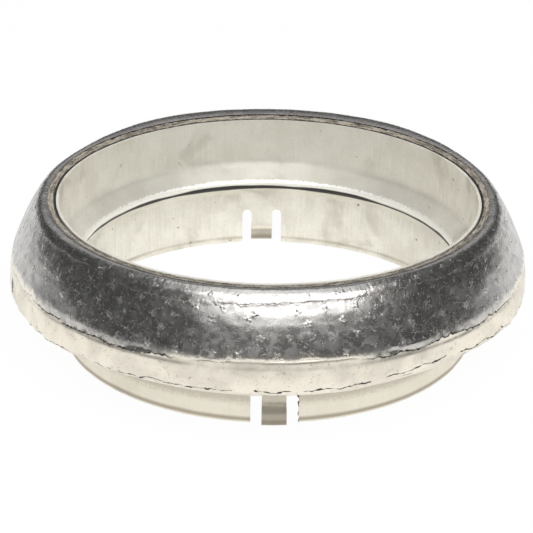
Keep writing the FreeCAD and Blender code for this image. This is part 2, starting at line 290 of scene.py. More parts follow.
def new_material(name):
    """An empty node material, with its tree and its Principled BSDF."""
    material = bpy.data.materials.new(name)
    material.use_nodes = True
    return material, material.node_tree, material.node_tree.nodes["Principled BSDF"]


def new_group(name, inputs, outputs):
    """An empty shader group. Inputs are (name, value) and outputs are names, with Place a vector."""
    group = bpy.data.node_groups.new(name, "ShaderNodeTree")
    for label, value in inputs:
        kind = "NodeSocketVector" if label == "Place" else "NodeSocketFloat"
        socket = group.interface.new_socket(name=label, in_out="INPUT", socket_type=kind)
        if label != "Place":
            socket.default_value = value
    for label in outputs:
        kind = "NodeSocketVector" if label in ("Place", "Around") else "NodeSocketFloat"
        group.interface.new_socket(name=label, in_out="OUTPUT", socket_type=kind)
    return group, group.nodes.new("NodeGroupInput"), group.nodes.new("NodeGroupOutput")


def place_group():
    """Where a point is, in millimetres. Around is the same unrolled: how far round, then the radius."""
    group, _, out = new_group("place_on_ring", (), ("Place", "Around", "Radius", "Height"))
    spot = add_node(group, "ShaderNodeTexCoord").outputs["Object"]
    scaled = add_node(group, "ShaderNodeVectorMath", {0: spot, "Scale": 1000.0}, operation="SCALE").outputs[0]
    parts = add_node(group, "ShaderNodeSeparateXYZ", {0: scaled})
    sideways, forward = (calc(group, "POWER", parts.outputs[k], 2.0) for k in (0, 1))
    squares = calc(group, "ADD", sideways, forward)
    group.links.new(scaled, out.inputs["Place"])
    radius = calc(group, "SQRT", squares)
    ahead = [calc(group, "DIVIDE", calc(group, "MULTIPLY", parts.outputs[k], 70.0), radius) for k in (0, 1)]
    around = add_node(group, "ShaderNodeCombineXYZ", {0: ahead[0], 1: ahead[1], 2: radius})
    group.links.new(around.outputs[0], out.inputs["Around"])
    group.links.new(radius, out.inputs["Radius"])
    group.links.new(parts.outputs[2], out.inputs["Height"])
    return group


def streak_group():
    """Long fine streaks up and down a wall, strong in some places and faint in others."""
    group, given, out = new_group("drawn_streaks", (("Place", None), ("Scale", 1.0)), ("Streak",))
    narrow = noise(group, stretched(group, given.outputs["Place"], (1, 1, 0.05)), given.outputs["Scale"], 3.0)
    where = noise(group, given.outputs["Place"], 0.09, 2.0)
    strength = fade(group, where, 0.35, 0.65, 0.25, 1.0)
    centred = calc(group, "SUBTRACT", narrow, 0.5)
    group.links.new(calc(group, "MULTIPLY_ADD", centred, strength, 0.5), out.inputs["Streak"])
    return group


def hair_group():
    """Short curling hair lines: thin bands where one noise crosses its middle, shown in patches."""
    inputs = (("Place", None), ("Scale", 0.5), ("Width", 0.02), ("Amount", 0.5))
    group, given, out = new_group("hair_scratches", inputs, ("Hair",))
    line = noise(group, given.outputs["Place"], given.outputs["Scale"], 1.0, 0.6)
    off_line = calc(group, "ABSOLUTE", calc(group, "SUBTRACT", line, 0.5))
    hair = calc(group, "SUBTRACT", 1.0, calc(group, "DIVIDE", off_line, given.outputs["Width"]))
    patch = noise(group, given.outputs["Place"], calc(group, "MULTIPLY", given.outputs["Scale"], 1.7), 1.0)
    edge = calc(group, "SUBTRACT", 1.0, given.outputs["Amount"])
    shown = fade(group, calc(group, "SUBTRACT", patch, edge), 0.0, 0.06)
    clamped = calc(group, "MAXIMUM", hair, 0.0)
    group.links.new(calc(group, "MULTIPLY", clamped, shown), out.inputs["Hair"])
    return group


def use_group(tree, group, inputs=None):
    return add_node(tree, "ShaderNodeGroup", inputs, node_tree=group).outputs


def bumped(tree, surface, height, distance):
    """Give a surface its fine relief. The height is in units of the distance."""
    bump = add_node(tree, "ShaderNodeBump", {"Height": height, "Strength": 1.0, "Distance": distance})
    tree.links.new(bump.outputs[0], surface.inputs["Normal"])


PLACE_ON_RING = place_group()
DRAWN_STREAKS = streak_group()
HAIR_SCRATCHES = hair_group()


def streak_lines(tree, place, scale):
    return use_group(tree, DRAWN_STREAKS, {"Place": place, "Scale": scale})["Streak"]


def hair_lines(tree, place, scale, width, amount):
    inputs = {"Place": place, "Scale": scale, "Width": width, "Amount": amount}
    return use_group(tree, HAIR_SCRATCHES, inputs)["Hair"]


def sleeve_steel():
    """Dull drawn sheet: faint upright streaks, pale clouds and stains; painted shade on the upper back wall,
    the bead's upper slope, the skirt's top and the tabs; a painted shadow under the bead's crest and a
    painted highlight along it; a paler skirt outside, partly painted light.
    """
    material, tree, surface = new_material("sleeve_steel")
    spot = use_group(tree, PLACE_ON_RING)
    place, radius, height = spot["Place"], spot["Radius"], spot["Height"]
    streak = streak_lines(tree, place, 1.6)
    cloud = noise(tree, place, 0.11, 4.0)
    grain = noise(tree, place, 1.3, 3.0)
    tone = calc(tree, "MULTIPLY_ADD", streak, 0.5, calc(tree, "MULTIPLY", cloud, 0.8))
    tone = calc(tree, "MULTIPLY_ADD", grain, 0.35, tone)
    colour = tinted(tree, fade(tree, tone, 0.62, 1.05), (0.78, 0.745, 0.655, 1), (0.93, 0.905, 0.815, 1))
    stain = fade(tree, noise(tree, place, 0.06, 5.0, 0.5), 0.56, 0.7, 0.0, 0.55)
    colour = tinted(tree, stain, colour, (0.5, 0.46, 0.38, 1))
    speck = fade(tree, noise(tree, place, 0.55, 2.0), 0.72, 0.78)
    colour = tinted(tree, speck, colour, (0.3, 0.26, 0.2, 1))
    parts = add_node(tree, "ShaderNodeSeparateXYZ", {0: place}).outputs
    # Painted shade: the upper wall at the back, above the bead, is made darker.
    back_wall_shade = calc(tree, "MULTIPLY", fade(tree, height, 27.0, 30.0), fade(tree, parts[1], 15.0, 60.0))
    colour = tinted(tree, calc(tree, "MULTIPLY", back_wall_shade, 0.4), colour, (0.47, 0.455, 0.39, 1))
    # Painted shade: the bead's upper slope is made darker, most at the back.
    inside = fade(tree, radius, 62.7, 63.55, 1.0, 0.0)
    flank_shade = calc(tree, "MULTIPLY", inside, fade(tree, height, 22.9, 23.6))
    flank_shade = calc(tree, "MULTIPLY", flank_shade, fade(tree, parts[1], 10.0, 50.0, 0.15, 1.0))
    colour = tinted(tree, calc(tree, "MULTIPLY", flank_shade, 0.62), colour, (0.4, 0.385, 0.34, 1))
    outside = calc(tree, "MULTIPLY", fade(tree, radius, 62.9, 63.2), fade(tree, height, 14.0, 15.0, 1.0, 0.0))
    # Partly the sheet's own warmer tone and partly painted light: the skirt's outer face gets a paler colour
    # than the inside.
    colour = tinted(tree, calc(tree, "MULTIPLY", outside, 0.7), colour, (0.99, 0.93, 0.78, 1))
    # Painted shadow: a darker band at the top of the skirt's outer face, under the overhanging belly. The
    # turned-in lower edge gets a darker band too.
    uneven = calc(tree, "MULTIPLY_ADD", grain, 3.0, height)
    skirt_top = calc(tree, "MULTIPLY", outside, fade(tree, uneven, 6.5, 9.5))
    rolled = calc(tree, "MULTIPLY", fade(tree, height, 1.2, 2.4, 1.0, 0.0), fade(tree, height, 0.2, 0.9))
    rolled = calc(tree, "MULTIPLY", rolled, fade(tree, radius, 62.4, 62.7))
    skirt_shadow = calc(tree, "MULTIPLY", skirt_top, 0.45)
    dark_marks_and_shade = calc(tree, "MAXIMUM", skirt_shadow, calc(tree, "MULTIPLY", rolled, 0.8))
    colour = tinted(tree, dark_marks_and_shade, colour, (0.38, 0.32, 0.235, 1))
    # Painted shade: the lower, outward-bent part of each tab is made darker.
    tab = calc(tree, "MULTIPLY", fade(tree, height, 6.2, 6.8, 1.0, 0.0), fade(tree, radius, 63.6, 64.2))
    colour = tinted(tree, calc(tree, "MULTIPLY", tab, 0.7), colour, (0.3, 0.265, 0.21, 1))
    torn = calc(tree, "ABSOLUTE", calc(tree, "SUBTRACT", parts[0], TORN_SLOT_EDGE / mm))
    torn = calc(tree, "MULTIPLY_ADD", noise(tree, place, 1.0, 2.0), 0.8, torn)
    torn = fade(tree, torn, 0.55, 0.75, 1.0, 0.0)
    torn = calc(tree, "MULTIPLY", torn, fade(tree, parts[1], -60.0, -61.0))
    torn = calc(tree, "MULTIPLY", torn, fade(tree, height, 10.0, 11.0, 1.0, 0.0))
    colour = tinted(tree, torn, colour, (0.05, 0.04, 0.03, 1))
    # Painted shadow: a thin dark line just under the bead's crest.
    thick = fade(tree, noise(tree, place, 0.035, 1.0), 0.35, 0.65, 0.45, 1.2)
    off_line = calc(tree, "ABSOLUTE", calc(tree, "SUBTRACT", height, SHADE_LINE_HEIGHT / mm))
    line = fade(tree, calc(tree, "DIVIDE", off_line, thick), 0.6, 1.1, 1.0, 0.0)
    line = calc(tree, "MULTIPLY", line, fade(tree, radius, 59.3, 59.7, 1.0, 0.0))
    colour = tinted(tree, line, colour, (0.03, 0.027, 0.025, 1))
    scratch = hair_lines(tree, place, 0.5, 0.01, 0.36)
    # Painted highlight: a near-white strip along the top of the bead's crest, joined by the pale hair
    # scratches.
    ragged = calc(tree, "MULTIPLY_ADD", grain, 1.6, radius)
    crest_highlight_and_scratches = fade(tree, ragged, 59.2, 59.7, 1.0, 0.0)
    crest_highlight_and_scratches = calc(tree, "MULTIPLY", crest_highlight_and_scratches, fade(tree, height, 22.7, 23.0))
    crest_highlight_and_scratches = calc(tree, "MAXIMUM", crest_highlight_and_scratches, calc(tree, "MULTIPLY", scratch, 0.5))
    colour = tinted(tree, crest_highlight_and_scratches, colour, (1, 0.985, 0.93, 1))
    tree.links.new(colour, surface.inputs["Base Color"])
    tree.links.new(calc(tree, "MULTIPLY_ADD", outside, 0.5, 0.35), surface.inputs["Metallic"])
    rough = fade(tree, streak, 0.3, 0.7, 0.52, 0.42)
    tree.links.new(calc(tree, "MULTIPLY_ADD", crest_highlight_and_scratches, -0.15, rough), surface.inputs["Roughness"])
    relief = calc(tree, "MULTIPLY_ADD", streak, 0.4, calc(tree, "MULTIPLY", grain, 0.6))
    bumped(tree, surface, relief, 0.02 * mm)
    return material


sleeve_piece = link_piece("sleeve", thickened(sleeve_mesh(), SHEET, 0.1 * mm), sleeve_steel(), "sleeve")

# The packing
# A ring of knitted steel mesh with a grey mineral filler, pressed hard between the sleeve and its facings.
# Only its end shows, as a ring of fine strands that run round between the sleeve's edge and the shoulder.
FOIL_COLUMNS = 1440
CREVICE_WIDTH = 0.6 * mm
CREVICE_DEPTH = 0.8 * mm
LIP = 66.8 * mm
END_RISE = 0.6 * mm
HEM_RADIUS = 63.3 * mm
HEM_HEIGHT = 8.8 * mm
HEM_LIFT = 3 * mm
FRONT_DIP = 0.65 * mm
PART_TOP = 44.9 * mm
PART_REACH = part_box("belly_facing")[1][0]


def ring_angles(columns):
    return np.arange(columns) * 2 * math.pi / columns


def standing(radius, height, angles):
    """Points at their distance from the axis and their height, kept inside the part's own box."""
    radius = np.minimum(radius, PART_REACH - TOUCHING)
    height = np.minimum(height, PART_TOP - 0.005 * mm)
    return np.stack([radius * np.cos(angles), radius * np.sin(angles), height], axis=-1)


def front_degrees(angles):
    """Degrees round from the front tab, growing to the right."""
    return (np.degrees(angles) + 270) % 360 - 180


def soft_step(value, low, high):
    share = np.clip((value - low) / (high - low), 0, 1)
    return share * share * (3 - 2 * share)


def front_dip(front):
    """How far the whole end of the part was pressed lower at the front than at the back."""
    return FRONT_DIP * (0.5 + 0.5 * np.cos(np.radians(front)))


def raised_hem(front, radius, height):
    """How far the hem is lifted at the back tab, where the slots show daylight to their tops."""
    back = 180 - np.abs(front)
    low = soft_step(height, 16 * mm, 12 * mm)
    return HEM_LIFT * soft_step(back, 24, 12) * soft_step(radius, 74 * mm, 66 * mm) * low


def packing_mesh():
    """The ring's uneven end, and plain hidden sides that follow the sleeve and the facings."""
    sleeve_outside = SLEEVE_BORE + SHEET
    angles = ring_angles(FOIL_COLUMNS)[None, :]
    face = np.linspace(sleeve_outside + CREVICE_WIDTH, LIP + 0.3 * mm, 13)[:, None]
    rise = (face - face[0]) / (LIP - face[0])
    dip = front_dip(front_degrees(angles))
    crown = SLEEVE_TOP + (END_RISE - 0.7 * dip) * np.clip(rise, 0, 1) ** 1.4
    pressed = 0.05 * mm * ripple(angles, face, 1.3 * mm, 11) + 0.06 * mm * ripple(angles, face, 5 * mm, 12)
    end_radius = face + 0.04 * mm * ripple(angles, face, 2 * mm, 13)
    end_height = crown + pressed
    around = np.array([
        (PART_REACH - 9 * mm, SLEEVE_TOP - 2 * mm), (PART_REACH - 1.5 * mm, 27 * mm),
        (PART_REACH - 1 * mm, 18.5 * mm), (HEM_RADIUS, HEM_HEIGHT + 0.4 * mm),
        (sleeve_outside, 28 * mm), (sleeve_outside, SLEEVE_TOP - CREVICE_DEPTH),
    ])
    radius = np.concatenate([end_radius, np.repeat(around[:, :1], FOIL_COLUMNS, axis=1)])
    height = np.concatenate([end_height, np.repeat(around[:, 1:], FOIL_COLUMNS, axis=1)])
    height += raised_hem(front_degrees(angles), radius, height)
    mesh = grid_mesh("packing_ring", standing(radius, height, angles), closed=True)
    mesh.set_sharp_from_angle(angle=math.radians(50))
    return mesh


def packing_fill():
    """Pressed mesh and filler: grey-brown, with wire ends that shine, dark pores and a painted shadow in the
    crevice by the sleeve.
    """
    material, tree, surface = new_material("packing_fill")
    spot = use_group(tree, PLACE_ON_RING)
    place = spot["Place"]
    strand = noise(tree, stretched(tree, spot["Around"], (0.2, 0.2, 2.2)), 1.0, 3.0, 0.5)
    cloud = noise(tree, place, 0.3, 4.0)
    tone = calc(tree, "ADD", calc(tree, "MULTIPLY", strand, 0.9), calc(tree, "MULTIPLY", cloud, 0.4))
    colour = tinted(tree, fade(tree, tone, 0.5, 0.8), (0.12, 0.1, 0.078, 1), (0.42, 0.375, 0.31, 1))
    wire = fade(tree, noise(tree, stretched(tree, spot["Around"], (0.8, 0.8, 2.5)), 1.0, 1.0), 0.64, 0.7)
    colour = tinted(tree, wire, colour, (0.75, 0.72, 0.66, 1))
    pores_and_crevice_shade = fade(tree, noise(tree, place, 1.9, 2.0, 0.5), 0.34, 0.3)
    shake = noise(tree, place, 0.9, 1.0)
    # Painted shadow: the crevice between the sleeve and the packing's end is coloured near black.
    crevice = fade(tree, calc(tree, "MULTIPLY_ADD", shake, -0.5, spot["Radius"]), 64.75, 64.95, 1.0, 0.0)
    pores_and_crevice_shade = calc(tree, "MAXIMUM", pores_and_crevice_shade, crevice)
    colour = tinted(tree, pores_and_crevice_shade, colour, (0.03, 0.027, 0.024, 1))
    tree.links.new(colour, surface.inputs["Base Color"])
    tree.links.new(calc(tree, "MULTIPLY", wire, 0.8), surface.inputs["Metallic"])
    tree.links.new(calc(tree, "MULTIPLY_ADD", wire, -0.2, 0.55), surface.inputs["Roughness"])
    bumped(tree, surface, calc(tree, "SUBTRACT", strand, calc(tree, "MULTIPLY", pores_and_crevice_shade, 0.5)), 0.12 * mm)
    return material


packing_piece = link_piece("packing", packing_mesh(), packing_fill(), "packing")

# The seat facing
# A thin dimpled foil pressed over the ball-shaped seat and smeared with graphite. It is turned in flat over
# the shoulder, a lap in it runs round below the shoulder, and its torn lower edge lies over the belly foil.
FOIL = 0.22 * mm
SHELL_SHAPE = (
    (66.8, 44.72), (68.2, 44.92), (69.45, 44.2), (70.25, 43.1), (71.6, 41), (73.1, 38.5), (74.42, 36),
    (75.58, 33.5), (76.62, 31.1), (77.35, 29.4), (77.82, 28.3), (78.1, 27.4), (78.3, 26.5), (78.5, 25.4),
    (78.75, 23.8), (78.95, 22.2), (79.08, 20.4), (79.02, 19), (78.45, 17.7), (77, 16.5), (72, 13.6),
    (63.3, 8.8),
)
SHELL_ROUNDING = 0.9 * mm
SEAT_ROWS = 62
SEAT_BACK_STEP = 15
PROFILE_POINTS = 1600
BELOW_SHOULDER = 80
# Degrees round from the front, each with a height in millimetres. For the gap it is a share, shut to open.
EDGE_KNOTS = (
    (-180, 26.2), (-58, 26.2), (-44, 25.5), (-40, 26.2), (-36, 25.6), (-24, 26.5), (-15, 26.2), (-6, 27.3),
    (8, 27.4), (18, 26.1), (31, 26.2), (40, 26.5), (46, 25.8), (60, 26.2), (120, 25.8), (180, 26.2),
)
LAP_KNOTS = (
    (-180, 41.3), (-60, 41.8), (-46, 42.4), (-37, 41.2), (-28, 40.5), (-15, 40.7), (0, 41.6), (30, 41.5),
    (50, 41.1), (110, 41.6), (180, 41.3),
)
GAP_KNOTS = (
    (-180, 0.5), (-62, 0.4), (-54, 0.9), (-26, 1), (-20, 0.3), (-10, 0), (14, 0), (20, 0.6), (26, 1),
    (42, 1), (54, 0.8), (66, 0.4), (180, 0.5),
)
DIMPLES_ROUND = 52
DIMPLE_HEIGHTS = (43.3, 39.8, 36.8, 33.1, 28.9)
DIMPLE_SIZE = (0.33 * mm, 0.45 * mm)
DIMPLE_DEPTH = (0.025 * mm, 0.055 * mm)
DIMPLES_MISSED = 0.1
DIMPLE_WINDOW = 8
SEAT_RADIUS = 75 * mm
SHOULDER_SPREAD = 3.9 * mm
# Degrees round from the back where the spread has gone, and where it is whole.
SPREAD_LEFT = (63, 20)
SPREAD_RIGHT = (76, 25)
RUST_FLECK = (-52.3, 46.5, 44.0)


def shell_profile():
    """Distance along, radius, height and outward direction of the facings' face, from lip to hem."""
    corners = np.array(SHELL_SHAPE) * mm
    along = np.concatenate([[0], np.cumsum(np.hypot(*np.diff(corners, axis=0).T))])
    fine = np.linspace(0, along[-1], PROFILE_POINTS)
    line = np.stack([np.interp(fine, along, corners[:, k]) for k in (0, 1)], axis=-1)
    reach = round(SHELL_ROUNDING / fine[1])
    kernel = np.hanning(2 * reach + 1)
    kernel = kernel / kernel.sum()
    padded = np.pad(line, ((reach, reach), (0, 0)), mode="reflect", reflect_type="odd")
    smooth = np.stack([np.convolve(padded[:, k], kernel, mode="valid") for k in (0, 1)], axis=-1)
    step = np.gradient(smooth, axis=0)
    outward = np.stack([-step[:, 1], step[:, 0]], axis=-1) / np.hypot(*step.T)[:, None]
    return fine, smooth, outward


SHELL_ALONG, SHELL_LINE, SHELL_OUTWARD = shell_profile()


def shell_at(along):
    """Radius, height and both parts of the outward direction at distances along the profile."""
    return [np.interp(along, SHELL_ALONG, column) for column in (*SHELL_LINE.T, *SHELL_OUTWARD.T)]


def along_at(height):
    """Distance along the profile at a height below the shoulder."""
    return np.interp(-height, -SHELL_LINE[BELOW_SHOULDER:, 1], SHELL_ALONG[BELOW_SHOULDER:])


def from_knots(front, knots):
    return np.interp(front, [knot[0] for knot in knots], [knot[1] for knot in knots])


def wandering(angles, knots, wander, seed):
    """A height round the part: through the given knots, with a finer random wander."""
    coarse = ripple(angles, 0, 9 * mm, seed) * wander
    fine = ripple(angles, 0, 1.6 * mm, seed + 1) * wander * 0.4
    return from_knots(front_degrees(angles), knots) * mm + coarse + fine


def seam_height(angles):
    """Height of the seat foil's torn lower edge."""
    torn = np.maximum(ripple(angles, 0, 3.2 * mm, 33) - 1.0, 0) * 0.5 * mm
    return wandering(angles, EDGE_KNOTS, 0.16 * mm, 31) + torn


def bulge(front, height, middle, reach, level):
    """A single raised spot of (degrees, height in mm) with its reach in both directions."""
    across = (front - middle[0]) / reach[0]
    up = (height / mm - middle[1]) / reach[1]
    return level * np.exp(-across ** 2 - up ** 2)


def shoulder_spread(front, radius, height):
    """How far the shoulder was pressed outward at the back. It reaches less far round on the left."""
    back = np.abs(np.abs(front) - 180)
    beyond_lip = soft_step(radius + 0.6 * (PART_TOP - height), 66.9 * mm, 69.3 * mm)
    gone, whole = (np.where(front < 0, left, right) for left, right in zip(SPREAD_LEFT, SPREAD_RIGHT))
    return SHOULDER_SPREAD * soft_step(back, gone, whole) * soft_step(height, 33 * mm, 44.4 * mm) * beyond_lip


def dimple_relief(angles, along):
    """Depth and nearest-dimple distance of the rows of small crumpled pits pressed into the seat."""
    draw = np.random.default_rng(21)
    depth = np.zeros(along.shape)
    nearest = np.full(along.shape, 5 * mm)
    columns = along.shape[1]
    column_turn = 2 * math.pi / columns
    for row, height in enumerate(DIMPLE_HEIGHTS):
        middle = along_at(height * mm)
        for k in range(DIMPLES_ROUND):
            if draw.random() < DIMPLES_MISSED:
                continue
            turn = (k + 0.5 * (row % 2) + 0.12 * draw.normal()) * 2 * math.pi / DIMPLES_ROUND
            spot = middle + 0.35 * mm * draw.normal()
            at = round(turn / column_turn)
            column = np.arange(at - DIMPLE_WINDOW, at + DIMPLE_WINDOW + 1)
            picked = column % columns
            sideways = (column * column_turn - turn) * SEAT_RADIUS
            upward = along[:, picked] - spot
            away = np.hypot(sideways, upward)
            bearing = np.arctan2(upward, sideways + 1e-9)
            star = 1 + 0.3 * np.cos(draw.integers(3, 6) * bearing + draw.uniform(0, 6.28))
            size = draw.uniform(*DIMPLE_SIZE) * star
            pit = -np.exp(-(away / size) ** 2) + 0.45 * np.exp(-((away - 1.5 * size) / (0.7 * size)) ** 2)
            depth[:, picked] += draw.uniform(*DIMPLE_DEPTH) * pit
            nearest[:, picked] = np.minimum(nearest[:, picked], away / star)
    return depth, nearest


def note_values(mesh, **columns):
    """Keep values on the mesh's points for its material, in millimetres or as shares."""
    for name, values in columns.items():
        kept = mesh.attributes.new(name, "FLOAT", "POINT")
        kept.data.foreach_set("value", np.ascontiguousarray(values, dtype=np.float32).ravel())


def foil_mesh(name, face, outward, angles, back_step):
    """A closed foil from its fine outer face, with a coarser hidden back, and blank values for that back."""
    back = slice(None, None, -back_step)
    inner = [line[back] - FOIL * lean[back] for line, lean in zip(face, outward)]
    radius, height = (np.concatenate(sides) for sides in zip(face, inner))
    mesh = grid_mesh(name, standing(radius, height, angles), closed=True)
    mesh.set_sharp_from_angle(angle=math.radians(60))
    return mesh, np.zeros(inner[0].shape)


def seat_mesh():
    """The seat foil from its lip to its torn lower edge, with its waves, pits, lap and lifted flaps."""
    angles = ring_angles(FOIL_COLUMNS)[None, :]
    front = front_degrees(angles)
    edge = along_at(seam_height(angles))
    gap = from_knots(front, GAP_KNOTS)
    share = np.linspace(0, 1, SEAT_ROWS)[:, None]
    along = share * edge
    radius, height, out_radius, out_height = shell_at(along)
    depth, nearest = dimple_relief(angles, along)
    lap_height = wandering(angles, LAP_KNOTS, 0.14 * mm, 35)
    lap = height - lap_height
    from_edge = edge - along
    near_edge = np.exp(-from_edge / (2 * mm))
    at_edge = np.exp(-from_edge / (0.5 * mm))
    near_lap = np.exp(-(lap / (0.9 * mm)) ** 2)
    shoulder = soft_step(height, 42 * mm, 44 * mm)
    creased = (0.01 * near_edge * gap + 0.012 * near_lap + 0.012 * shoulder) * mm
    flared = (0.08 + 0.1 * np.maximum(ripple(angles, 0, 4 * mm, 45), 0)) * mm
    relief = (
        0.035 * mm * ripple(angles, along, 16 * mm, 41)
        + 0.009 * mm * ripple(angles, along, 6 * mm, 42)
        + 0.0025 * mm * ripple(angles, along, 2.4 * mm, 43)
        + depth
        + creased * ripple(angles, along, 1.5 * mm, 44)
        + 0.05 * mm * soft_step(lap, -0.2 * mm, 0.25 * mm)
        - 0.04 * mm * np.exp(-(lap / (0.25 * mm)) ** 2)
        - 0.14 * mm * at_edge * (1 - gap)
        + at_edge * gap * flared
        + bulge(front, height, (29, 27.7), (3, 0.9), 0.4 * mm)
        + bulge(front, height, (-28.5, 25.8), (1.6, 0.7), 0.3 * mm)
        - bulge(front, height, (24.5, 27.2), (1.2, 0.6), 0.2 * mm)
    )
    spread = shoulder_spread(front, radius, height)
    level = height - front_dip(front) * soft_step(height, 42.3 * mm, 44.6 * mm)
    face = (radius + relief * out_radius + spread, level + relief * out_height)
    mesh, blank = foil_mesh("seat_foil", face, (out_radius, out_height), angles, SEAT_BACK_STEP)
    note_values(
        mesh,
        lap=np.concatenate([lap, blank + mm]) / mm,
        edge=np.concatenate([from_edge, blank]) / mm,
        pit=np.concatenate([nearest, blank + 5 * mm]) / mm,
        gap=np.concatenate([np.broadcast_to(gap, lap.shape), blank]),
    )
    return mesh


def crack_mask(tree, distance, place, width, gate_scale, gate_low):
    """A dark ragged line where a distance crosses zero, broken up by a slow noise."""
    shake = calc(tree, "SUBTRACT", noise(tree, place, 1.4, 2.0), 0.5)
    off = calc(tree, "ABSOLUTE", calc(tree, "MULTIPLY_ADD", shake, 0.7, distance))
    swell = fade(tree, noise(tree, place, 0.5, 2.0), 0.35, 0.75, width * 0.4, width * 2.2)
    line = calc(tree, "SUBTRACT", 1.0, calc(tree, "DIVIDE", off, swell))
    gate = fade(tree, noise(tree, place, gate_scale, 1.0), gate_low, gate_low + 0.06)
    return calc(tree, "MULTIPLY", calc(tree, "MAXIMUM", line, 0.0), gate)


def kept_value(tree, name):
    return add_node(tree, "ShaderNodeAttribute", attribute_name=name).outputs["Fac"]


def distance_from(tree, place, point):
    """How far a place is from one point, in millimetres."""
    return add_node(tree, "ShaderNodeVectorMath", {0: place, 1: point}, operation="DISTANCE").outputs["Value"]


